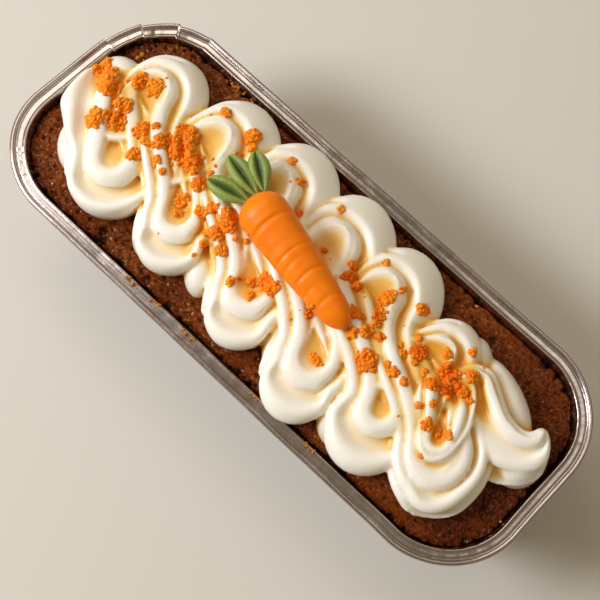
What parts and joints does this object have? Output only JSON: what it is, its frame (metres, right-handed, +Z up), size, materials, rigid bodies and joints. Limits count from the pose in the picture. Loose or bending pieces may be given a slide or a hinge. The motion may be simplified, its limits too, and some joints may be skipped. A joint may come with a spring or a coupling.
{
  "type": "iced carrot loaf cake in a foil tin",
  "caption": "Carrot loaf cake in its own foil tin, topped with a zigzag rope of piped cream cheese icing, orange crumbs and a moulded sugar carrot with leaves.",
  "frame": {"origin": "middle of the tin's base, on the surface that the tin stands on", "axes": "+X along the loaf towards the end where the icing rope stops, +Y across it, +Z up out of the tin"},
  "size_m": [0.2032, 0.079, 0.066],
  "materials": {
    "foil": "pressed and creased household foil, half bright",
    "sponge": "baked moist crumb, pitted, slightly greasy shine",
    "icing": "smooth piped cream cheese icing, soft satin",
    "orange_sugar": "moulded coloured sugar paste, satin",
    "green_sugar": "moulded coloured sugar paste, satin",
    "orange_crumb": "dry candied carrot crumbs"
  },
  "bodies": {
    "root": {"foil_tin": "foil", "cake": "sponge", "frosting": "icing", "carrot_body": "orange_sugar", "carrot_leaf_1": "green_sugar", "carrot_leaf_2": "green_sugar", "carrot_leaf_3": "green_sugar"}
  },
  "joints": []
}
